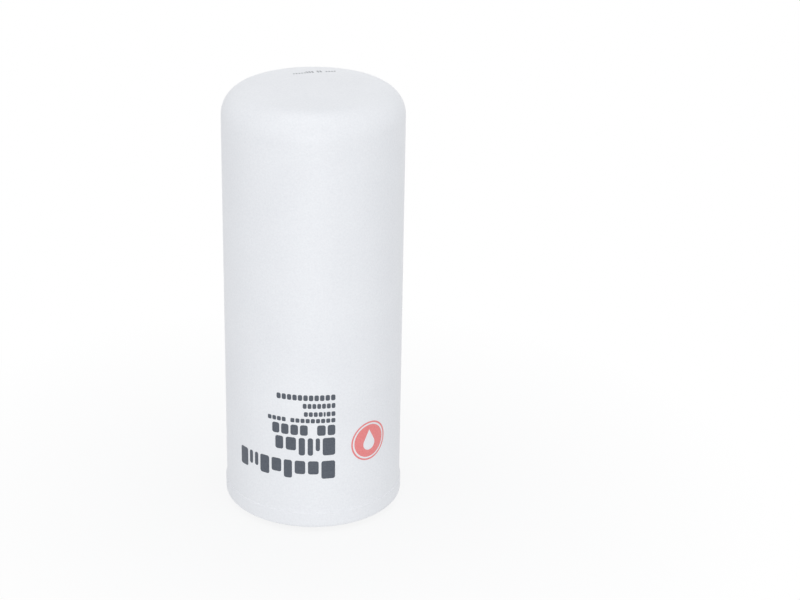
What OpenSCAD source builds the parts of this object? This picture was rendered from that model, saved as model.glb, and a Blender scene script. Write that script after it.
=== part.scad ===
// Spin-on hydraulic filter: a drawn steel can rolled over a cast base plate, with a pleated element inside.
// Millimetres. Z is the filter's axis and points up to the closed dome.
// Z = 0 is the gasket's sealing face, on which the filter stands.

/* [Can] */
// Length from the gasket's sealing face to the top of the dome
filter_l = 239; // [190:1:290]
// Thickness of the can's sheet
can_t = 0.9; // [0.7:0.05:1.1]
// Outside radius of the corner between the can's side and its dome
dome_corner_r = 14.5; // [11:0.5:18]
// Outside radius of the dome's shallow crown
dome_crown_r = 340; // [270:5:420]
// How far the expanded mouth band stands out from the can's body
mouth_swell = 0.6; // [0.4:0.05:0.8]
// Width of the lip that is rolled in over the base plate
lip_w = 6.3; // [4.5:0.1:7]
// Outside radius of the roll between the mouth band and the lip
lip_roll_r = 2.4; // [1.9:0.1:3]

/* [Base plate] */
// Thickness of the plate behind the gasket groove
web_t = 6.6; // [5:0.1:8.5]
// Width of the land around the gasket groove
land_w = 2.9; // [2.2:0.1:4]
// Width of the rim outside the land, from which the can takes its diameter
rim_w = 9.25; // [8.5:0.05:18]
// How far the rim, under the rolled lip, is set back from the land
rim_set_back = 2.1; // [1.7:0.1:2.6]
// How far the inner face, with the ports, is set back from the land
face_set_back = 0.4; // [0.2:0.05:0.8]
// Diameter of the centre bore, at the bottom of its thread's grooves
thread_d = 35; // [26:0.1:46]
// Width of the bevel where the centre thread starts
bevel_w = 0.8; // [0.4:0.1:2]
// Depth of the bevel where the centre thread starts
bevel_h = 3; // [2:0.1:4]
// Wall of the collar around the thread, which carries the element
collar_wall = 3.1; // [2.4:0.1:5]
// Height of the collar above the plate
collar_h = 11; // [9:0.5:14]
// Width of the step on the collar that the grommet sits on
seat_w = 0.9; // [0.5:0.1:2]
// Height of that step above the plate
seat_h = 5; // [4:0.1:6]
// Width of the ribs between the ports, on the inside
rib_w = 4; // [3:0.1:5]
// Height of the ribs above the plate
rib_h = 4; // [3:0.1:4.8]
// How far the ribs stop short of the can's wall
rib_end_gap = 8; // [6:0.5:10]

/* [Ports] */
// Number of kidney-shaped ports, lugs and gasket teeth
port_count = 6; // [5:1:7]
// Width of a port
port_w = 7.4; // [5:0.1:10]
// Plate left between the ports and the collar's step
port_gap = 0.5; // [0.3:0.1:3]
// Angle between the centres of a port's round ends
port_arc = 27; // [20:0.5:30]
// Diameter of the half-round lugs between the land and the lip
lug_d = 6.6; // [5:0.1:7.6]
// Width of a tooth that grips the gasket
tooth_w = 8.5; // [7:0.1:10]
// Height of a tooth that grips the gasket
tooth_h = 0.9; // [0.6:0.05:1.2]

/* [Seals] */
// Plate left between the ports and the gasket groove
groove_wall = 1.9; // [1.3:0.1:6]
// Width of the gasket groove
groove_w = 4.6; // [4:0.1:5]
// Depth of the gasket groove, from the land
groove_h = 4.2; // [3.5:0.1:5]
// How far the gasket stands out of its groove, past the land
gasket_proud = 1.2; // [0.8:0.05:1.6]
// Radius of the two ridges on the gasket's face
ridge_r = 0.9; // [0.75:0.05:1]
// Thickness of the ring that seals the rim against the can
rim_seal_d = 2.4; // [2:0.1:2.9]
// Width of the grommet's flanges past the hole in the end cap
grommet_flange_w = 1.7; // [1.3:0.1:2]
// Thickness of the rubber between the collar and the end cap
grommet_wall = 2.2; // [1.8:0.1:2.6]
// Thickness of the grommet's lower flange, which carries the element
grommet_foot = 2; // [1.6:0.1:2.5]
// Thickness of the grommet's upper flange
grommet_top = 1.6; // [1.2:0.1:2]

/* [Element] */
// Gap between the element and the can, for the oil
flow_gap = 5.3; // [4:0.1:6.5]
// Thickness of the end caps' sheet
cap_t = 0.7; // [0.5:0.05:0.9]
// Height of the end caps' turned edge
cap_edge_h = 9; // [7.5:0.5:12]
// Gap between the grommet's flange and the bore of the perforated centre tube
tube_gap = 0.25; // [0.1:0.05:2]
// Thickness of the centre tube
tube_t = 0.8; // [0.6:0.05:1]
// Diameter of the holes in the centre tube
perf_d = 6; // [4:0.1:7]
// Distance between the rows of holes along the tube
perf_pitch = 12.5; // [10:0.5:16]
// Number of holes in a row
perf_around = 8; // [6:2:10]
// Thickness of the pleated medium
medium_t = 1.1; // [0.8:0.05:1.6]
// Gap left between one pleat and the next at the centre tube
pleat_gap = 0.69; // [0.45:0.01:2]
// Height of the adhesive in each end cap
potting_h = 5; // [4:0.1:6.5]
// Adhesive left under the ends of the pleats
potting_floor = 1.5; // [1:0.1:2]
// Width of a band
band_w = 3; // [2:0.1:5]
// Length of the crimped fold of the seam clip, along the radius
clip_depth = 7; // [5:0.5:9]

/* [Spring] */
// Height of the spring between its seat and the dome
spring_l = 29.5; // [24:0.5:36]
// Thickness of the spring's wire
wire_d = 3.2; // [2.6:0.1:3.6]
// Diameter of the spring, at the middle of its wire
spring_d = 34; // [30:0.5:40]
// Number of turns
spring_turns = 5.5; // [5:0.5:6.5]
// Thickness of the spring seat's sheet
seat_t = 1; // [0.8:0.05:1.2]
// Height of the boss that centres the spring
boss_h = 5; // [4:0.5:7]

/* [Hidden] */
$fn = 96;

// Clearance between round pieces that are pressed together
fit = 0.05;
// Bevel that breaks the edges of the casting
edge = 0.35;
// Excess length of a cut past the face that it cuts
over = 1;

// Levels of the base plate, from the sealing face up
land_z = gasket_proud;
face_z = land_z + face_set_back;
rim_z = land_z + rim_set_back;
floor_z = land_z + groove_h;
plate_z = floor_z + web_t;
seat_z = plate_z + seat_h;
collar_z = plate_z + collar_h;

// Radii of the base plate, from the thread outwards
bore_r = thread_d / 2;
collar_r = bore_r + collar_wall;
seat_r = collar_r + seat_w;
port_in_r = seat_r + port_gap;
port_mid_r = port_in_r + port_w / 2;
groove_r = port_in_r + port_w + groove_wall;
groove_out_r = groove_r + groove_w;
land_r = groove_out_r + land_w;
rim_r = land_r + rim_w;
rim_roll_r = lip_roll_r - can_t;
lug_r = lug_d / 2;

// Radii of the can, whose mouth fits around the plate's rim
mouth_r = rim_r + fit + can_t;
can_r = mouth_r - mouth_swell;
lip_edge_r = mouth_r - lip_w;
lip_z = rim_z - can_t;
rim_seal_z = (rim_z + rim_roll_r + plate_z - mouth_swell) / 2;

// Radii and levels of the element
element_r = can_r - can_t - flow_gap;
cap_hole_r = collar_r + fit + grommet_wall;
lower_cap_z = seat_z + grommet_foot;
tube_r = collar_r + fit + grommet_wall + grommet_flange_w + tube_gap;
pleat_in_r = tube_r + tube_t + fit * 4;
cap_in_r = element_r - cap_t;
pleat_out_r = cap_in_r - fit * 4;

// Levels of the dome: its corner arc runs smoothly into its crown arc
dome_centre_r = can_r - dome_corner_r;
dome_reach = dome_crown_r - dome_corner_r;
crown_centre_z = filter_l - dome_crown_r;
dome_centre_z = crown_centre_z + sqrt(pow(dome_reach, 2) - pow(dome_centre_r, 2));
dome_join_r = dome_centre_r * dome_crown_r / dome_reach;
crown_in_r = dome_crown_r - can_t;

// The spring's outer edge touches the inside of the crown
spring_top_z = crown_centre_z + sqrt(pow(crown_in_r, 2) - pow((spring_d + wire_d) / 2, 2)) - fit;
spring_z = spring_top_z - spring_l;
upper_cap_z = spring_z - seat_t - cap_t;

// Adhesive bands around the pleats, each a node of its own
band_count = 4;

// Pleats: the folds' legs are nearly parallel, so the gaps open outwards
pleat_low_z = lower_cap_z + cap_t + potting_floor;
pleat_top_z = upper_cap_z - potting_floor;
pleat_count = floor(PI * pleat_in_r * 2 / (medium_t * 2 + pleat_gap));
pleat_step = 360 / pleat_count;
fold_gap = 0.3;
leg_out = medium_t / 2 + fold_gap;
leg_in = PI * pleat_in_r / pleat_count - medium_t / 2 - fold_gap / 2;

// The outline of the can, drawn inwards by the given inset
module can_outline(inset) {
    r = can_r - inset;
    square_top = dome_centre_z;
    shoulder = mouth_swell;
    // Body and mouth band, with the shoulder that the plate rests against
    polygon([
        [0, lip_z + inset], [mouth_r - lip_roll_r, lip_z + inset], [mouth_r - inset, lip_z + lip_roll_r],
        [mouth_r - inset, plate_z - shoulder], [r, plate_z], [r, square_top], [0, square_top]
    ]);
    translate([mouth_r - lip_roll_r, lip_z + lip_roll_r]) circle(r = lip_roll_r - inset);
    translate([dome_centre_r, dome_centre_z]) circle(r = dome_corner_r - inset);
    // Crown, as far as it meets the corner's arc
    intersection() {
        translate([0, crown_centre_z]) circle(r = dome_crown_r - inset);
        translate([0, square_top - over]) square([dome_join_r_at(inset), filter_l]);
    }
}

function dome_join_r_at(inset) = dome_centre_r * (dome_crown_r - inset) / dome_reach;

module can() {
    color("white")
    rotate_extrude() {
        difference() {
            intersection() {
                can_outline(0);
                square([mouth_r + over, filter_l + over]);
            }
            can_outline(can_t);
            // Mouth, up to the round edge of the lip
            translate([0, lip_z - over]) square([lip_edge_r + can_t / 2, rim_z - lip_z + over * 2]);
        }
        translate([lip_edge_r + can_t / 2, lip_z + can_t / 2]) circle(r = can_t / 2);
    }
}

// Half of the plate's section, turned about the axis
module base_section() {
    difference() {
        union() {
            polygon([
                [bore_r + bevel_w, face_z], [groove_r - edge, face_z], [groove_r, face_z + edge],
                [groove_r, floor_z], [groove_out_r, floor_z], [groove_out_r, land_z + edge],
                [groove_out_r + edge, land_z], [land_r - edge, land_z], [land_r, land_z + edge],
                [land_r + edge, rim_z], [rim_r - rim_roll_r, rim_z], [rim_r, rim_z + rim_roll_r],
                [rim_r, plate_z - mouth_swell], [rim_r - mouth_swell, plate_z], [seat_r, plate_z],
                [seat_r, seat_z], [collar_r, seat_z], [collar_r, collar_z - over],
                [collar_r - over / 2, collar_z], [bore_r + over, collar_z], [bore_r, collar_z - over],
                [bore_r, face_z + bevel_h]
            ]);
            translate([rim_r - rim_roll_r, rim_z + rim_roll_r]) circle(r = rim_roll_r);
        }
        // Groove for the rim's seal
        translate([rim_r - rim_seal_d, rim_seal_z - rim_seal_d * 0.7])
            square([rim_seal_d + over, rim_seal_d * 1.4]);
    }
}

// A kidney-shaped port: a bent slot with round ends, in the middle of the +X side
module port_shape() {
    half = port_arc / 2;
    difference() {
        circle(r = port_in_r + port_w);
        circle(r = port_in_r);
        // Everything past the centres of the two round ends
        rotate(half) translate([-can_r, 0]) square([can_r * 2, can_r]);
        rotate(-half) translate([-can_r, -can_r]) square([can_r * 2, can_r]);
    }
    for (side = [-1, 1])
        rotate(side * half) translate([port_mid_r, 0]) circle(d = port_w);
}

// A blunt tooth that grips the gasket, grown by the given clearance
module tooth_shape(grow) {
    translate([groove_r, 0])
        polygon([
            [-over, -tooth_w / 2 - grow - over], [grow, -tooth_w / 2 - grow],
            [tooth_h + grow, -tooth_w / 16 - grow], [tooth_h + grow, tooth_w / 16 + grow],
            [grow, tooth_w / 2 + grow], [-over, tooth_w / 2 + grow + over]
        ]);
}

// Copies a shape to each port's place
module at_ports(turn = 0) {
    for (k = [0 : port_count - 1])
        rotate(90 + turn + k * 360 / port_count) children();
}

// A half-round lug that reaches from the land to the lip
module lug() {
    difference() {
        translate([lip_edge_r - lug_r - fit, 0, land_z])
            cylinder(h = rim_set_back + over, r1 = lug_r - edge, r2 = lug_r);
        translate([0, 0, land_z - over]) cylinder(h = plate_z, r = land_r - land_w / 2);
    }
}

module base_plate() {
    color("silver")
    difference() {
        union() {
            rotate_extrude() base_section();
            at_ports()
                translate([0, 0, face_z]) linear_extrude(floor_z - face_z + over) tooth_shape(0);
            at_ports(180 / port_count) lug();
            at_ports(180 / port_count)
                translate([collar_r - over, -rib_w / 2, plate_z - over])
                    cube([can_r - rib_end_gap - collar_r + over, rib_w, rib_h + over]);
        }
        at_ports()
            translate([0, 0, face_z - over])
                linear_extrude(plate_z - face_z + over * 2) port_shape();
    }
}

module mounting_gasket() {
    low = groove_r + fit * 2;
    wide = groove_w - fit * 4;
    color("#202020")
    difference() {
        rotate_extrude()
            intersection() {
                union() {
                    translate([low, ridge_r]) square([wide, floor_z - ridge_r - fit]);
                    for (r = [low + ridge_r * 1.3, low + wide - ridge_r * 1.3])
                        translate([r, ridge_r * 0.75]) circle(r = ridge_r);
                }
                translate([low, 0]) square([wide, floor_z]);
            }
        at_ports()
            translate([0, 0, -over]) linear_extrude(floor_z + over * 2) tooth_shape(fit);
    }
}

module rim_seal_ring() {
    color("#303030")
    rotate_extrude()
        translate([rim_r - rim_seal_d / 2, rim_seal_z]) circle(d = rim_seal_d - fit);
}

module element_grommet() {
    color("#252525")
    rotate_extrude()
        translate([collar_r + fit, 0])
            polygon([
                [0, seat_z], [grommet_wall + grommet_flange_w, seat_z],
                [grommet_wall + grommet_flange_w, lower_cap_z], [grommet_wall - fit, lower_cap_z],
                [grommet_wall - fit, lower_cap_z + cap_t],
                [grommet_wall + grommet_flange_w / 2, lower_cap_z + cap_t],
                [grommet_wall, lower_cap_z + cap_t + grommet_top], [0, lower_cap_z + cap_t + grommet_top]
            ]);
}

// A pressed end cap with a turned edge, open in the middle up to hole_r
module end_cap_section(hole_r) {
    polygon([
        [hole_r, 0], [element_r - cap_t, 0], [element_r, cap_t], [element_r, cap_edge_h],
        [element_r - cap_t, cap_edge_h], [element_r - cap_t, cap_t], [hole_r, cap_t]
    ]);
}

module lower_end_cap() {
    color("lightgrey")
    translate([0, 0, lower_cap_z]) rotate_extrude() end_cap_section(cap_hole_r);
}

// The folded medium: closed zigzag outlines, one leg out and one back for each pleat
function pleat_outline(tip_r, root_r, tip_x, root_x) = [
    for (k = [0 : pleat_count - 1], p = [[-root_x, root_r], [-tip_x, tip_r], [tip_x, tip_r], [root_x, root_r]])
        let (a = -k * pleat_step) [p[0] * cos(a) - p[1] * sin(a), p[0] * sin(a) + p[1] * cos(a)]
];

module pleat_shape() {
    difference() {
        polygon(pleat_outline(pleat_out_r, pleat_in_r + medium_t,
                              leg_out + medium_t / 2, leg_in + medium_t / 2));
        polygon(pleat_outline(pleat_out_r - medium_t, pleat_in_r,
                              leg_out - medium_t / 2, leg_in - medium_t / 2));
    }
}

module pleat_pack() {
    color("#f2e6b8")
    translate([0, 0, pleat_low_z]) linear_extrude(pleat_top_z - pleat_low_z) pleat_shape();
}

// Adhesive in an end cap: a plain ring under the pleats, and more around them
module potting() {
    linear_extrude(potting_floor) potting_ring();
    translate([0, 0, potting_floor])
        linear_extrude(potting_h - potting_floor)
            difference() {
                potting_ring();
                pleat_shape();
            }
}

module potting_ring() {
    difference() {
        circle(r = cap_in_r - fit);
        circle(r = tube_r + tube_t + fit);
    }
}

module lower_potting() {
    color("goldenrod") translate([0, 0, lower_cap_z + cap_t]) potting();
}

module upper_potting() {
    color("goldenrod") translate([0, 0, upper_cap_z]) mirror([0, 0, 1]) potting();
}

// A folded strip over the two end legs of the medium, in the gap between two pleats
module seam_clip() {
    color("silver")
    rotate(pleat_step / 2)
        translate([-fold_gap / 2, pleat_out_r - clip_depth, pleat_low_z + potting_h])
            cube([fold_gap, clip_depth, pleat_top_z - pleat_low_z - potting_h * 2]);
}

module pleat_band(place) {
    span = upper_cap_z - lower_cap_z - cap_t;
    color("ivory")
    translate([0, 0, lower_cap_z + cap_t + span * place / (band_count + 1) - band_w / 2])
        rotate_extrude() translate([pleat_out_r + fit, 0]) square([cap_t, band_w]);
}

module centre_tube() {
    low = lower_cap_z + cap_t;
    high = upper_cap_z;
    rows = floor((high - low - potting_h * 2 - perf_d) / perf_pitch);
    first = (low + high - rows * perf_pitch) / 2;
    color("lightsteelblue")
    difference() {
        translate([0, 0, low])
            rotate_extrude() translate([tube_r, 0]) square([tube_t, high - low]);
        for (row = [0 : rows], k = [0 : perf_around / 2 - 1])
            translate([0, 0, first + row * perf_pitch])
                rotate((k + (row % 2) / 2) * 360 / perf_around)
                    rotate([0, 90, 0]) cylinder(h = can_r * 2, d = perf_d, center = true);
    }
}

module upper_end_cap() {
    color("lightgrey")
    translate([0, 0, upper_cap_z + cap_t]) mirror([0, 0, 1]) rotate_extrude() end_cap_section(0);
}

module spring_seat() {
    boss_r = (spring_d - wire_d) / 2 - fit * 4;
    flange_r = (spring_d + wire_d) / 2 + seat_t;
    color("silver")
    translate([0, 0, upper_cap_z + cap_t])
        rotate_extrude()
            polygon([
                [boss_r - seat_t * 2, 0], [flange_r, 0], [flange_r, seat_t * 2],
                [flange_r - seat_t / 2, seat_t * 2], [flange_r - seat_t, seat_t], [boss_r, seat_t],
                [boss_r - seat_t, boss_h], [0, boss_h], [0, boss_h - seat_t],
                [boss_r - seat_t * 2, boss_h - seat_t]
            ]);
}

// Height of the wire's middle after the given number of turns: closed end turns, even pitch between
function coil_z(turn) =
    let (closed = wire_d * 1.04, pitch = (spring_l - wire_d - closed * 2) / (spring_turns - 2))
    wire_d / 2 + closed * min(turn, 1) + pitch * max(0, min(turn - 1, spring_turns - 2))
    + closed * max(0, turn - spring_turns + 1);

module coil_spring() {
    sides = 8;
    per_turn = 20;
    rings = spring_turns * per_turn;
    points = [
        for (i = [0 : rings], s = [0 : sides - 1])
            let (a = i * 360 / per_turn, b = s * 360 / sides + 180 / sides,
                 r = (spring_d + (wire_d - fit) * cos(b)) / 2)
            [r * cos(a), r * sin(a), coil_z(i / per_turn) + (wire_d - fit) / 2 * sin(b)]
    ];
    walls = [
        for (i = [0 : rings - 1], s = [0 : sides - 1])
            let (low = i * sides, high = low + sides, next = (s + 1) % sides)
            [low + s, high + s, high + next, low + next]
    ];
    first_end = [for (s = [0 : sides - 1]) s];
    last_end = [for (s = [0 : sides - 1]) rings * sides + sides - 1 - s];
    color("dimgrey")
    translate([0, 0, spring_z]) polyhedron(points, concat(walls, [first_end, last_end]));
}

can();
base_plate();
mounting_gasket();
rim_seal_ring();
element_grommet();
lower_end_cap();
lower_potting();
pleat_pack();
seam_clip();
pleat_band(1);  // pleat_band_1
pleat_band(2);  // pleat_band_2
pleat_band(3);  // pleat_band_3
pleat_band(4);  // pleat_band_4
centre_tube();
upper_potting();
upper_end_cap();
spring_seat();
coil_spring();
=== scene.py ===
import math

import bmesh
import bpy
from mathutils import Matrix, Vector

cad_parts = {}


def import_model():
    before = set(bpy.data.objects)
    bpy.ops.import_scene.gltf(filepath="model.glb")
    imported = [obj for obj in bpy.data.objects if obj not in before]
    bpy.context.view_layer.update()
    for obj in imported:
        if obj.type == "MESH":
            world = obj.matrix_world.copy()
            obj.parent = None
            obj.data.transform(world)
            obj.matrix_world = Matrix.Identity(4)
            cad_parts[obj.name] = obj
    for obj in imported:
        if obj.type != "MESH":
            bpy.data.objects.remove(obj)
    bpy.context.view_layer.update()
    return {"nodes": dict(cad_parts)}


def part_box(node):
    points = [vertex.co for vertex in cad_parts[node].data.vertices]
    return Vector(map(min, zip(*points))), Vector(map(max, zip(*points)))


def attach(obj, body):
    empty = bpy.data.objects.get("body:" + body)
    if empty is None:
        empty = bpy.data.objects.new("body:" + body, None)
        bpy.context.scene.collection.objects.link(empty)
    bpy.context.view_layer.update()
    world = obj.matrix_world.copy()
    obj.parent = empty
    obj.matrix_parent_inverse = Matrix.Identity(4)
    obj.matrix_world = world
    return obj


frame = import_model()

MM = 0.001

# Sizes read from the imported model
CAN_LOW, CAN_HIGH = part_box("can")
PLATE_LOW, PLATE_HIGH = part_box("base_plate")
MOUTH_R = CAN_HIGH.x
MOUTH_SWELL = 0.6 * MM
BODY_R = MOUTH_R - MOUTH_SWELL
TOP_Z = CAN_HIGH.z
CROWN_R = 340 * MM

# Levels of the printing, measured up from the lip
PRINT_Z = CAN_LOW.z

# The plate's zones, from the axis outwards
THREAD_ROOT_R = 17.5 * MM
BEVEL_R = 18.4 * MM
LAND_IN_R = 35.9 * MM
RIM_IN_R = 38.9 * MM
RIM_OUT_R = 44 * MM


def colour(code, alpha=1.0):
    """An sRGB hex colour as the linear colour that the shaders want."""
    parts = [int(code[i:i + 2], 16) / 255 for i in (1, 3, 5)]
    linear = [p / 12.92 if p <= 0.04045 else ((p + 0.055) / 1.055) ** 2.4 for p in parts]
    return (*linear, alpha)


def find_socket(sockets, key):
    """A socket by its place, its identifier or its name."""
    if isinstance(key, int):
        return sockets[key]
    return next((socket for socket in sockets if socket.identifier == key), None) or sockets[key]


def add_node(tree, kind, values=None, links=None, **settings):
    """Adds a node, with its settings, its unlinked values and what feeds its sockets."""
    node = tree.nodes.new(kind)
    for name, value in settings.items():
        setattr(node, name, value)
    for key, value in (values or {}).items():
        find_socket(node.inputs, key).default_value = value
    for key, source in (links or {}).items():
        tree.links.new(source, find_socket(node.inputs, key))
    return node


def new_material(name):
    material = bpy.data.materials.new(name)
    material.use_nodes = True
    material.node_tree.nodes.clear()
    return material, material.node_tree


def finish_material(material, tree, shader):
    add_node(tree, "ShaderNodeOutputMaterial", links={"Surface": shader.outputs[0]})
    return material


def place(tree):
    """Object coordinates, in metres, in the part's own frame."""
    return add_node(tree, "ShaderNodeTexCoord").outputs["Object"]


def noise(tree, where, grain, detail=3.0, roughness=0.55):
    """Noise whose patches are about one grain wide."""
    values = {"Scale": 1 / grain, "Detail": detail, "Roughness": roughness}
    return add_node(tree, "ShaderNodeTexNoise", values, {"Vector": where}).outputs["Fac"]


def spread(tree, source, low, high, source_low=0.3, source_high=0.7):
    """Maps a noise to the range low to high."""
    values = {"From Min": source_low, "From Max": source_high, "To Min": low, "To Max": high}
    return add_node(tree, "ShaderNodeMapRange", values, {"Value": source}).outputs["Result"]


def blend_colours(tree, factor, first, second):
    ramp = add_node(tree, "ShaderNodeValToRGB", links={"Fac": factor})
    ramp.color_ramp.elements[0].color = colour(first)
    ramp.color_ramp.elements[1].color = colour(second)
    ramp.color_ramp.elements[0].position = 0.3
    ramp.color_ramp.elements[1].position = 0.7
    return ramp.outputs["Color"]


def mixed_noise(tree, fine, coarse, share):
    """Two noises as one, with the given share of the coarse one."""
    node = add_node(tree, "ShaderNodeMix", {"Factor_Float": share}, {"A_Float": fine, "B_Float": coarse})
    return find_socket(node.outputs, "Result_Float")


def mix_values(tree, share, first, second):
    """Runs from what a node gives to the second value as share goes from 0 to 1."""
    node = add_node(tree, "ShaderNodeMix", {"B_Float": second}, {"Factor_Float": share, "A_Float": first})
    return find_socket(node.outputs, "Result_Float")


def mix_colours(tree, share, under, over):
    """Lays the colour over on the one that a node gives, where share is 1."""
    links = {"Factor_Float": share, "A_Color": under}
    node = add_node(tree, "ShaderNodeMix", {"B_Color": colour(over)}, links, data_type="RGBA")
    return find_socket(node.outputs, "Result_Color")


def bump(tree, height, depth, under=None):
    """Relief of the given depth in metres, over an earlier relief if there is one."""
    links = {"Height": height}
    if under is not None:
        links["Normal"] = under
    return add_node(tree, "ShaderNodeBump", {"Strength": 1.0, "Distance": depth}, links).outputs["Normal"]


def axis_distance(tree, where):
    """Distance from the filter's axis."""
    flat = add_node(tree, "ShaderNodeVectorMath", {1: (1.0, 1.0, 0.0)}, {0: where}, operation="MULTIPLY")
    length = add_node(tree, "ShaderNodeVectorMath", links={0: flat.outputs[0]}, operation="LENGTH")
    return length.outputs["Value"]


def rings(tree, radius, pitch):
    """Turning marks: fine rings about the axis, one every pitch."""
    turns = add_node(tree, "ShaderNodeMath", {1: 2 * math.pi / pitch}, {0: radius}, operation="MULTIPLY")
    wave = add_node(tree, "ShaderNodeMath", links={0: turns.outputs[0]}, operation="SINE")
    return wave.outputs[0]


def between(tree, value, low, high):
    """1 where value lies between low and high, else 0."""
    above = add_node(tree, "ShaderNodeMath", {1: low}, {0: value}, operation="GREATER_THAN")
    below = add_node(tree, "ShaderNodeMath", {1: high}, {0: value}, operation="LESS_THAN")
    links = {0: above.outputs[0], 1: below.outputs[0]}
    return add_node(tree, "ShaderNodeMath", links=links, operation="MULTIPLY").outputs[0]


def powder_coat():
    """Polyester powder coat baked on drawn steel: cool white, satin, with a faint orange peel, and thick enough
    to round off the small step above the mouth band."""
    material, tree = new_material("white_powder_coat")
    where = place(tree)
    speckle = noise(tree, where, 1.0 * MM, 3.0, 0.7)
    mottle = mixed_noise(tree, speckle, noise(tree, where, 40 * MM, 2.0), 0.3)
    tone = blend_colours(tree, mottle, "#EBECEF", "#F6F7F9")
    soft_edge = add_node(tree, "ShaderNodeBevel", {"Radius": 0.5 * MM}, samples=8)
    peel = bump(tree, noise(tree, where, 1.2 * MM, 2.0, 0.4), 0.05 * MM, soft_edge.outputs[0])
    fine = bump(tree, noise(tree, where, 0.6 * MM, 2.0), 0.02 * MM, peel)
    gloss = spread(tree, noise(tree, where, 2.5 * MM), 0.36, 0.46)
    shader = add_node(tree, "ShaderNodeBsdfPrincipled", {"IOR": 1.5},
                      {"Base Color": tone, "Roughness": gloss, "Normal": fine})
    return finish_material(material, tree, shader)


def cast_aluminium():
    """Die-cast aluminium: a grainy grey skin with soft edges, darker in the sunk rim where shade is painted into the
    colour, and bright with turning marks where the land and the bevel are machined."""
    material, tree = new_material("die_cast_aluminium")
    where = place(tree)
    grain = noise(tree, where, 0.5 * MM, 5.0, 0.7)
    cloud = noise(tree, where, 9 * MM, 3.0)
    cast = blend_colours(tree, mixed_noise(tree, grain, cloud, 0.35), "#AFADAE", "#DCDADB")
    radius = axis_distance(tree, where)
    # Painted shade: the sunk rim between the land and the lip is coloured darker, standing in for the shade that falls
    # in that recess
    sunk_rim_painted_shade = mix_colours(tree, between(tree, radius, RIM_IN_R, RIM_OUT_R), cast, "#A3A1A2")
    land = between(tree, radius, LAND_IN_R, RIM_IN_R)
    bevel = between(tree, radius, THREAD_ROOT_R - 4 * MM, BEVEL_R)
    machined = add_node(tree, "ShaderNodeMath", links={0: land, 1: bevel}, operation="MAXIMUM").outputs[0]
    turned = rings(tree, radius, 0.45 * MM)
    marks = add_node(tree, "ShaderNodeMath", links={0: turned, 1: machined}, operation="MULTIPLY").outputs[0]
    soft_edge = add_node(tree, "ShaderNodeBevel", {"Radius": 1.0 * MM}, samples=8)
    skin = bump(tree, mix_values(tree, machined, grain, 0.5), 0.05 * MM, soft_edge.outputs[0])
    relief = bump(tree, marks, 0.006 * MM, skin)
    tone = mix_colours(tree, machined, sunk_rim_painted_shade, "#DEDCDE")
    gloss = mix_values(tree, machined, spread(tree, grain, 0.42, 0.6), 0.4)
    shader = add_node(tree, "ShaderNodeBsdfPrincipled", {"Metallic": 1.0},
                      {"Base Color": tone, "Roughness": gloss, "Normal": relief})
    return finish_material(material, tree, shader)


def nitrile_rubber():
    """Moulded nitrile rubber: near black, with a soft sheen and a slight bloom."""
    material, tree = new_material("nitrile_rubber")
    where = place(tree)
    tone = blend_colours(tree, noise(tree, where, 5 * MM), "#0E0E10", "#17171A")
    relief = bump(tree, noise(tree, where, 0.4 * MM, 4.0), 0.012 * MM)
    gloss = spread(tree, noise(tree, where, 2 * MM), 0.2, 0.3)
    shader = add_node(tree, "ShaderNodeBsdfPrincipled", {"IOR": 1.52},
                      {"Base Color": tone, "Roughness": gloss, "Normal": relief})
    return finish_material(material, tree, shader)


def tin_plate():
    """Tin-plated steel sheet: bright grey with the fine lines of rolling along the axis."""
    material, tree = new_material("tin_plated_steel")
    where = place(tree)
    long_way = add_node(tree, "ShaderNodeMapping", {"Scale": (1.0, 1.0, 0.06)}, {"Vector": where})
    lines = noise(tree, long_way.outputs[0], 0.35 * MM, 3.0)
    tone = blend_colours(tree, noise(tree, where, 7 * MM), "#B3B4B8", "#CFD0D3")
    relief = bump(tree, lines, 0.01 * MM)
    gloss = spread(tree, lines, 0.26, 0.4)
    shader = add_node(tree, "ShaderNodeBsdfPrincipled", {"Metallic": 1.0},
                      {"Base Color": tone, "Roughness": gloss, "Normal": relief})
    return finish_material(material, tree, shader)


def spring_wire():
    """Oil-tempered spring wire: dark grey, satin, with faint drawing marks."""
    material, tree = new_material("oil_tempered_wire")
    where = place(tree)
    tone = blend_colours(tree, noise(tree, where, 3 * MM), "#4B4C50", "#66676B")
    relief = bump(tree, noise(tree, where, 0.25 * MM), 0.012 * MM)
    gloss = spread(tree, noise(tree, where, 1.5 * MM), 0.3, 0.45)
    shader = add_node(tree, "ShaderNodeBsdfPrincipled", {"Metallic": 1.0},
                      {"Base Color": tone, "Roughness": gloss, "Normal": relief})
    return finish_material(material, tree, shader)


def cured_adhesive():
    """Cured potting compound: straw coloured, smooth, with small waves where it set."""
    material, tree = new_material("cured_potting")
    where = place(tree)
    tone = blend_colours(tree, noise(tree, where, 6 * MM), "#B8913F", "#D8B868")
    relief = bump(tree, noise(tree, where, 1.8 * MM, 2.0), 0.08 * MM)
    gloss = spread(tree, noise(tree, where, 3 * MM), 0.25, 0.4)
    shader = add_node(tree, "ShaderNodeBsdfPrincipled", {"IOR": 1.5},
                      {"Base Color": tone, "Roughness": gloss, "Normal": relief})
    return finish_material(material, tree, shader)


def glass_fibre_sheet():
    """Resin-bonded glass-fibre sheet, pleated: cream and matt, with a tangle of fine fibres."""
    material, tree = new_material("glass_fibre_medium")
    where = place(tree)
    fibres = noise(tree, where, 0.35 * MM, 6.0, 0.75)
    tone = blend_colours(tree, fibres, "#DDD2AC", "#F4EDD2")
    relief = bump(tree, fibres, 0.09 * MM)
    shader = add_node(tree, "ShaderNodeBsdfPrincipled", {"Roughness": 0.85, "IOR": 1.45},
                      {"Base Color": tone, "Normal": relief})
    return finish_material(material, tree, shader)


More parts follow.
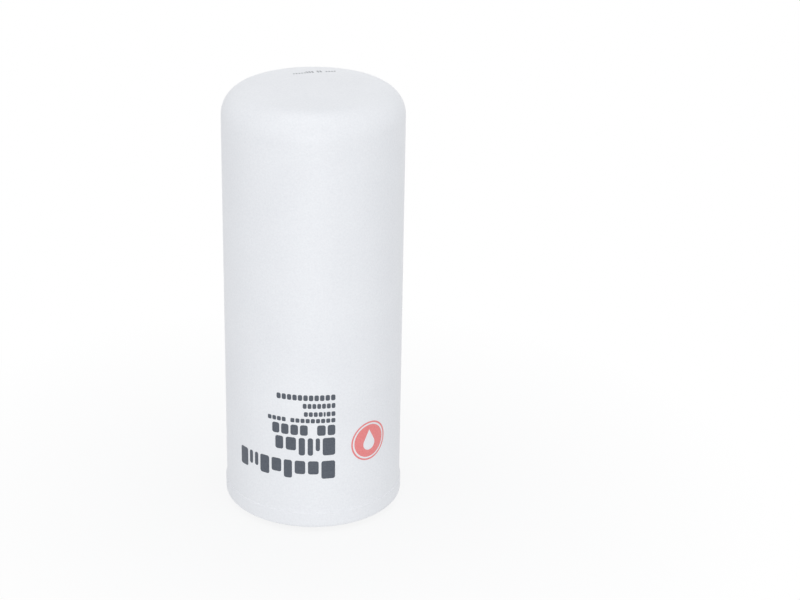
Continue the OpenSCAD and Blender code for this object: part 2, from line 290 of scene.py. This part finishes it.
def printing_ink(name, dark, light, thin=0.3):
    """Screen-printed ink over powder coat: solid colour that takes on the coat's orange peel."""
    material, tree = new_material(name)
    where = place(tree)
    tone = blend_colours(tree, noise(tree, where, 0.9 * MM, 4.0), dark, light)
    relief = bump(tree, noise(tree, where, 1.1 * MM, 2.0, 0.4), 0.03 * MM)
    gloss = spread(tree, noise(tree, where, 1.5 * MM), thin, thin + 0.12)
    shader = add_node(tree, "ShaderNodeBsdfPrincipled", {"IOR": 1.48},
                      {"Base Color": tone, "Roughness": gloss, "Normal": relief})
    return finish_material(material, tree, shader)


MATERIALS = {
    "coat": powder_coat(),
    "casting": cast_aluminium(),
    "rubber": nitrile_rubber(),
    "sheet": tin_plate(),
    "wire": spring_wire(),
    "potting": cured_adhesive(),
    "medium": glass_fibre_sheet(),
    "slate_ink": printing_ink("slate_screen_ink", "#4C525C", "#5A606A"),
    "coral_ink": printing_ink("coral_screen_ink", "#EC7F80", "#F39391"),
    "date_ink": printing_ink("grey_jet_ink", "#575B62", "#767A80"),
}

NODE_FINISH = {
    "can": "coat",
    "base_plate": "casting",
    "mounting_gasket": "rubber",
    "rim_seal_ring": "rubber",
    "element_grommet": "rubber",
    "lower_end_cap": "sheet",
    "upper_end_cap": "sheet",
    "centre_tube": "sheet",
    "seam_clip": "sheet",
    "spring_seat": "sheet",
    "coil_spring": "wire",
    "pleat_pack": "medium",
    "lower_potting": "potting",
    "upper_potting": "potting",
    "pleat_band_1": "potting",
    "pleat_band_2": "potting",
    "pleat_band_3": "potting",
    "pleat_band_4": "potting",
}

for node_name, finish in NODE_FINISH.items():
    for material_slot in frame["nodes"][node_name].material_slots:
        material_slot.material = MATERIALS[finish]


# Printing: drawn flat, as arc length along X and height along Y, then wrapped round the can

INK_T = 0.03 * MM
INK_LIFT = 0.02 * MM
WRAP_STEP = 1.0 * MM


def rounded_block(left, low, width, height, corner, per_corner=4):
    """Outline of a block with round corners, counter-clockwise."""
    corner = min(corner, width / 2.01, height / 2.01)
    centres = [
        (left + width - corner, low + height - corner, 0),
        (left + corner, low + height - corner, 90),
        (left + corner, low + corner, 180),
        (left + width - corner, low + corner, 270),
    ]
    outline = []
    for x, y, start in centres:
        for step in range(per_corner + 1):
            angle = math.radians(start + 90 * step / per_corner)
            outline.append((x + corner * math.cos(angle), y + corner * math.sin(angle)))
    return outline


def circle_outline(x, y, radius, count=64):
    return [
        (x + radius * math.cos(2 * math.pi * i / count), y + radius * math.sin(2 * math.pi * i / count))
        for i in range(count)
    ]


def drop_outline(x, y, radius, tip, count=48):
    """A drop: a round belly of the given radius that runs up to a point at height tip above its centre."""
    flank = math.asin(radius / tip)
    outline = [(x, y + tip)]
    for i in range(count + 1):
        angle = math.pi - flank + (math.pi + 2 * flank) * i / count
        outline.append((x + radius * math.cos(angle), y + radius * math.sin(angle)))
    return outline


def flat_print(name, outlines):
    """Fills the outlines, with holes where one lies inside another, as a thin flat plate."""
    curve = bpy.data.curves.new(name, "CURVE")
    curve.dimensions = "2D"
    curve.fill_mode = "BOTH"
    curve.extrude = INK_T / 2
    for outline in outlines:
        spline = curve.splines.new("POLY")
        spline.points.add(len(outline) - 1)
        for point, (x, y) in zip(spline.points, outline):
            point.co = (x, y, 0.0, 1.0)
        spline.use_cyclic_u = True
    holder = bpy.data.objects.new(name + "_outline", curve)
    bpy.context.scene.collection.objects.link(holder)
    mesh = bpy.data.meshes.new_from_object(holder.evaluated_get(bpy.context.evaluated_depsgraph_get()))
    bpy.data.objects.remove(holder)
    bpy.data.curves.remove(curve)
    return mesh


def sliced(mesh, step):
    """The mesh cut into strips along X, so that it can follow a curve."""
    shape = bmesh.new()
    shape.from_mesh(mesh)
    bmesh.ops.remove_doubles(shape, verts=shape.verts, dist=1e-7)
    low = min(v.co.x for v in shape.verts)
    high = max(v.co.x for v in shape.verts)
    cut = low + step
    while cut < high:
        everything = list(shape.verts) + list(shape.edges) + list(shape.faces)
        bmesh.ops.bisect_plane(shape, geom=everything, plane_co=(cut, 0, 0), plane_no=(1, 0, 0))
        cut += step
    bmesh.ops.recalc_face_normals(shape, faces=shape.faces)
    return shape


def wrapped_print(name, outlines, material):
    """Ink laid on the can's side, by arc length from the front and height above the lip."""
    mesh = flat_print(name, outlines)
    shape = sliced(mesh, WRAP_STEP)
    for vert in shape.verts:
        radius = BODY_R + INK_LIFT + INK_T / 2 + vert.co.z
        angle = vert.co.x / BODY_R
        vert.co = Vector((radius * math.sin(angle), -radius * math.cos(angle), PRINT_Z + vert.co.y))
    shape.to_mesh(mesh)
    shape.free()
    return finished_piece(name, mesh, material)


def finished_piece(name, mesh, material):
    mesh.materials.clear()
    mesh.materials.append(MATERIALS[material])
    piece = bpy.data.objects.new(name, mesh)
    bpy.context.scene.collection.objects.link(piece)
    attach(piece, "root")
    return piece


def arc(degrees):
    """Arc length from the front of the can, positive to the right."""
    return math.radians(degrees) * BODY_R


# Each line of blocks starts at the right and runs to the left, as on the real can's print, whose
# letters stand on their heads: tall blocks reach further down. A block list gives widths in units of
# the line's block width, with 0 for the space between two words.
LINE_START = arc(14.0)
LINES = [
    # low, height, end, tall ones, widths
    (30.2, 10.7, -53.7, (0, 3, 5, 8), (1.3, 1, 1, 0.8, 1, 1, 0.4, 0.4, 1)),
    (44.3, 10.4, -24.8, (0, 2, 3), (1.2, 0.4, 0.5, 0.6, 1, 0.8)),
    (56.2, 6.1, -26.9, (0, 1, 2, 3, 4, 5, 6), (1, 1.1, 0, 1, 1, 1, 1)),
    (63.7, 2.5, -30.0, (0,), (1, 1, 1, 1, 1, 1, 1, 1, 1, 0, 1, 1, 1, 1)),
    (67.5, 2.7, -5.9, (0,), (1, 1, 0.5, 1, 1, 1, 1)),
    (72.2, 2.9, -6.6, (0,), (1, 1, 1, 1, 1, 1, 1)),
    (76.8, 3.3, -23.7, (0,), (1, 1, 1, 1, 1, 1, 1, 1, 1, 1, 1)),
]
SHORT_SHARE = 0.74
GAP_SHARE = 0.26


def legend_outlines():
    """Rows of plain blocks in place of words."""
    outlines = []
    for low, height, end, tall, widths in LINES:
        length = LINE_START - arc(end)
        units = sum(w if w else 0.7 for w in widths) + GAP_SHARE * (len(widths) - 1)
        unit = length / units
        right = LINE_START
        for index, width in enumerate(widths):
            if width:
                share = 1.0 if index in tall or height < 4 else SHORT_SHARE
                block_h = height * share * MM
                top = (low + height) * MM
                outlines.append(rounded_block(right - width * unit, top - block_h, width * unit, block_h,
                                              min(0.25 * height, 1.2) * MM))
            right -= (width if width else 0.7) * unit + GAP_SHARE * unit
    return outlines


EMBLEM_X = arc(38.4)
EMBLEM_Y = 48.1 * MM
EMBLEM_R = 11.4 * MM


def emblem_outlines():
    """A disc with a drop left bare in it, and a thin ring round the disc."""
    return [
        circle_outline(EMBLEM_X, EMBLEM_Y, EMBLEM_R, 96),
        circle_outline(EMBLEM_X, EMBLEM_Y, EMBLEM_R - 0.9 * MM, 96),
        circle_outline(EMBLEM_X, EMBLEM_Y, EMBLEM_R - 1.9 * MM, 96),
        drop_outline(EMBLEM_X, EMBLEM_Y - 1.6 * MM, 3.9 * MM, 8.4 * MM),
    ]


legend = wrapped_print("printed_legend", legend_outlines(), "slate_ink")
emblem = wrapped_print("printed_emblem", emblem_outlines(), "coral_ink")

# Jet-printed dashes on the crown, near its far side and a little askew
CODE_TURN = math.radians(16)
CODE_MIDDLE = Vector((1.0 * MM, 22.0 * MM))
CODE_PITCH = 1.5 * MM
CODE_DASH_W = 0.9 * MM
CODE_DASH_H = 1.2 * MM
# Each row's height over the first one, in millimetres, and the places that carry a dash
CODE_ROWS = [
    (0.0, (0, 1, 2, 3, 4, 5, 6, 7, 9, 10, 12, 13, 14, 15)),
    (1.9, (5, 6, 7, 9, 10)),
]
CODE_LENGTH = 16 * CODE_PITCH


def crown_z(x, y):
    """Height of the crown's outside."""
    return TOP_Z - CROWN_R + math.sqrt(CROWN_R ** 2 - x * x - y * y)


def crown_code():
    outlines = []
    for height, dashes in CODE_ROWS:
        for dash in dashes:
            left = dash * CODE_PITCH - CODE_LENGTH / 2
            outlines.append(rounded_block(left, height * MM, CODE_DASH_W, CODE_DASH_H, 0.3 * MM))
    mesh = flat_print("jet_printed_code", outlines)
    shape = sliced(mesh, 2 * WRAP_STEP)
    for vert in shape.verts:
        x = CODE_MIDDLE.x + vert.co.x * math.cos(CODE_TURN) - vert.co.y * math.sin(CODE_TURN)
        y = CODE_MIDDLE.y + vert.co.x * math.sin(CODE_TURN) + vert.co.y * math.cos(CODE_TURN)
        lift = INK_LIFT + INK_T / 2 + vert.co.z
        vert.co = Vector((x, y, crown_z(x, y) + lift))
    shape.to_mesh(mesh)
    shape.free()
    return finished_piece("jet_printed_code", mesh, "date_ink")


# The thread in the plate's bore: one ridge that runs round as a helix

THREAD_PITCH = 25.4 * MM / 16
THREAD_CREST_R = 16.6 * MM
THREAD_LOW = PLATE_LOW.z + 3.9 * MM
THREAD_HIGH = PLATE_HIGH.z - 1.6 * MM


def tree_input(tree, name, value):
    socket = tree.interface.new_socket(name, in_out="INPUT", socket_type="NodeSocketFloat")
    socket.default_value = value
    return socket.identifier


def thread_tree():
    """A right-handed helix swept by a trapezium: the ridge between two turns of the thread's groove."""
    tree = bpy.data.node_groups.new("thread_ridge_tree", "GeometryNodeTree")
    tree.interface.new_socket("Geometry", in_out="OUTPUT", socket_type="NodeSocketGeometry")
    names = {name: tree_input(tree, name, 0.0) for name in ("Turns", "Radius", "Length", "Depth", "Foot", "Crest")}
    given = add_node(tree, "NodeGroupInput").outputs
    helix = add_node(tree, "GeometryNodeCurveSpiral", {"Resolution": 72, "Reverse": True},
                     {"Rotations": given["Turns"], "Start Radius": given["Radius"],
                      "End Radius": given["Radius"], "Height": given["Length"]})
    upright = add_node(tree, "GeometryNodeSetCurveNormal", links={"Curve": helix.outputs[0]}, mode="Z_UP")
    section = add_node(tree, "GeometryNodeCurvePrimitiveQuadrilateral", {"Offset": 0.0},
                       {"Bottom Width": given["Foot"], "Top Width": given["Crest"], "Height": given["Depth"]},
                       mode="TRAPEZOID")
    facing = add_node(tree, "GeometryNodeTransform", {"Rotation": (0.0, 0.0, math.pi / 2)},
                      {"Geometry": section.outputs[0]})
    ridge = add_node(tree, "GeometryNodeCurveToMesh", {"Fill Caps": True},
                     {"Curve": upright.outputs[0], "Profile Curve": facing.outputs[0]})
    solid = add_node(tree, "GeometryNodeRealizeInstances", links={"Geometry": ridge.outputs[0]})
    dressed = add_node(tree, "GeometryNodeSetMaterial", {"Material": MATERIALS["casting"]},
                       {"Geometry": solid.outputs[0]})
    add_node(tree, "NodeGroupOutput", links={"Geometry": dressed.outputs[0]})
    return tree, names


def thread_ridge():
    tree, names = thread_tree()
    holder = bpy.data.objects.new("thread_holder", bpy.data.meshes.new("thread_holder"))
    bpy.context.scene.collection.objects.link(holder)
    modifier = holder.modifiers.new("thread", "NODES")
    modifier.node_group = tree
    depth = THREAD_ROOT_R - THREAD_CREST_R
    length = THREAD_HIGH - THREAD_LOW
    sizes = {
        "Turns": length / THREAD_PITCH,
        "Radius": THREAD_ROOT_R - depth / 2,
        "Length": length,
        "Depth": depth,
        "Foot": THREAD_PITCH * 0.86,
        "Crest": THREAD_PITCH * 0.14,
    }
    for name, value in sizes.items():
        modifier[names[name]] = value
    evaluated = holder.evaluated_get(bpy.context.evaluated_depsgraph_get())
    mesh = bpy.data.meshes.new_from_object(evaluated)
    bpy.data.objects.remove(holder)
    for vert in mesh.vertices:
        vert.co.z += THREAD_LOW
    return finished_piece("thread_ridge", mesh, "casting")


code = crown_code()
thread = thread_ridge()


# Studio: white floor and background, soft light from both sides and above

def floor_material():
    """Matt white studio floor that stays white to the camera and keeps a soft shadow near the part. It has no
    back, so that the part's mounting end can be looked at from below."""
    material, tree = new_material("studio_floor")
    where = place(tree)
    fade = spread(tree, axis_distance(tree, where), 0.8, 1.0, 60 * MM, 260 * MM)
    tone = blend_colours(tree, noise(tree, where, 200 * MM), "#F2F2F2", "#F4F4F4")
    matt = add_node(tree, "ShaderNodeBsdfDiffuse", links={"Color": tone})
    white = add_node(tree, "ShaderNodeEmission", {"Color": (1.0, 1.0, 1.0, 1.0), "Strength": 1.0})
    path = add_node(tree, "ShaderNodeLightPath").outputs
    seen = add_node(tree, "ShaderNodeMath", links={0: path["Is Camera Ray"], 1: path["Is Glossy Ray"]},
                    operation="MAXIMUM")
    share = add_node(tree, "ShaderNodeMath", links={0: seen.outputs[0], 1: fade}, operation="MULTIPLY")
    face = add_node(tree, "ShaderNodeMixShader", links={0: share.outputs[0], 1: matt.outputs[0], 2: white.outputs[0]})
    back = add_node(tree, "ShaderNodeNewGeometry").outputs["Backfacing"]
    gone = add_node(tree, "ShaderNodeBsdfTransparent")
    shader = add_node(tree, "ShaderNodeMixShader", links={0: back, 1: face.outputs[0], 2: gone.outputs[0]})
    return finish_material(material, tree, shader)


def floor():
    bpy.ops.mesh.primitive_plane_add(size=6)
    plane = bpy.context.object
    plane.name = "studio_floor"
    plane.data.materials.append(floor_material())
    # Light comes up through the floor, so that the mounting end isn't in the dark
    plane.visible_diffuse = False
    plane.visible_shadow = False


def world():
    """White to the camera and in reflections, softer grey as light."""
    scene_world = bpy.data.worlds.new("studio_world")
    bpy.context.scene.world = scene_world
    scene_world.use_nodes = True
    tree = scene_world.node_tree
    tree.nodes.clear()
    path = add_node(tree, "ShaderNodeLightPath").outputs
    through = add_node(tree, "ShaderNodeMath", links={0: path["Is Camera Ray"], 1: path["Is Transmission Ray"]},
                       operation="MAXIMUM")
    seen = add_node(tree, "ShaderNodeMath", links={0: through.outputs[0], 1: path["Is Glossy Ray"]},
                    operation="MAXIMUM")
    light = add_node(tree, "ShaderNodeBackground", {"Color": colour("#F3F5F8"), "Strength": 0.76})
    white = add_node(tree, "ShaderNodeBackground", {"Color": (1.0, 1.0, 1.0, 1.0), "Strength": 1.0})
    mixed = add_node(tree, "ShaderNodeMixShader", links={0: seen.outputs[0], 1: light.outputs[0], 2: white.outputs[0]})
    add_node(tree, "ShaderNodeOutputWorld", links={"Surface": mixed.outputs[0]})


def soft_box(name, position, target, width, height, power, mirrored=True):
    """A soft rectangular lamp. One that isn't mirrored lights the part without showing in its gloss."""
    lamp = bpy.data.lights.new(name, "AREA")
    lamp.shape = "RECTANGLE"
    lamp.size = width
    lamp.size_y = height
    lamp.energy = power
    holder = bpy.data.objects.new(name, lamp)
    holder.visible_glossy = mirrored
    holder.location = position
    holder.rotation_euler = (Vector(target) - Vector(position)).to_track_quat("-Z", "Y").to_euler()
    bpy.context.scene.collection.objects.link(holder)


def lights():
    middle = (0, 0, TOP_Z / 2)
    soft_box("front_box", (-0.06, -1.45, 0.1), middle, 1.0, 0.9, 5.2)
    soft_box("top_box", (0.0, -0.2, 1.3), middle, 0.9, 0.9, 2.5)
    soft_box("back_box", (0.25, 1.4, 0.1), middle, 0.6, 0.9, 3.0, mirrored=False)


CAMERA_ELEVATION = 23.27
CAMERA_DISTANCE = 1099.5 * MM
CAMERA_LENS = 91.17
CAMERA_SHIFT = (0.1084, -0.0063)


def camera():
    """The photograph's view: from the front, looking down a little, with the part left of the middle."""
    data = bpy.data.cameras.new("main_camera")
    data.lens = CAMERA_LENS
    data.sensor_width = 36
    data.shift_x, data.shift_y = CAMERA_SHIFT
    holder = bpy.data.objects.new("main_camera", data)
    tilt = math.radians(CAMERA_ELEVATION)
    target = Vector((0, 0, TOP_Z / 2))
    holder.location = target + CAMERA_DISTANCE * Vector((0, -math.cos(tilt), math.sin(tilt)))
    holder.rotation_euler = (target - holder.location).to_track_quat("-Z", "Y").to_euler()
    bpy.context.scene.collection.objects.link(holder)
    bpy.context.scene.camera = holder


floor()
world()
lights()
camera()
bpy.context.scene.view_settings.view_transform = "Standard"
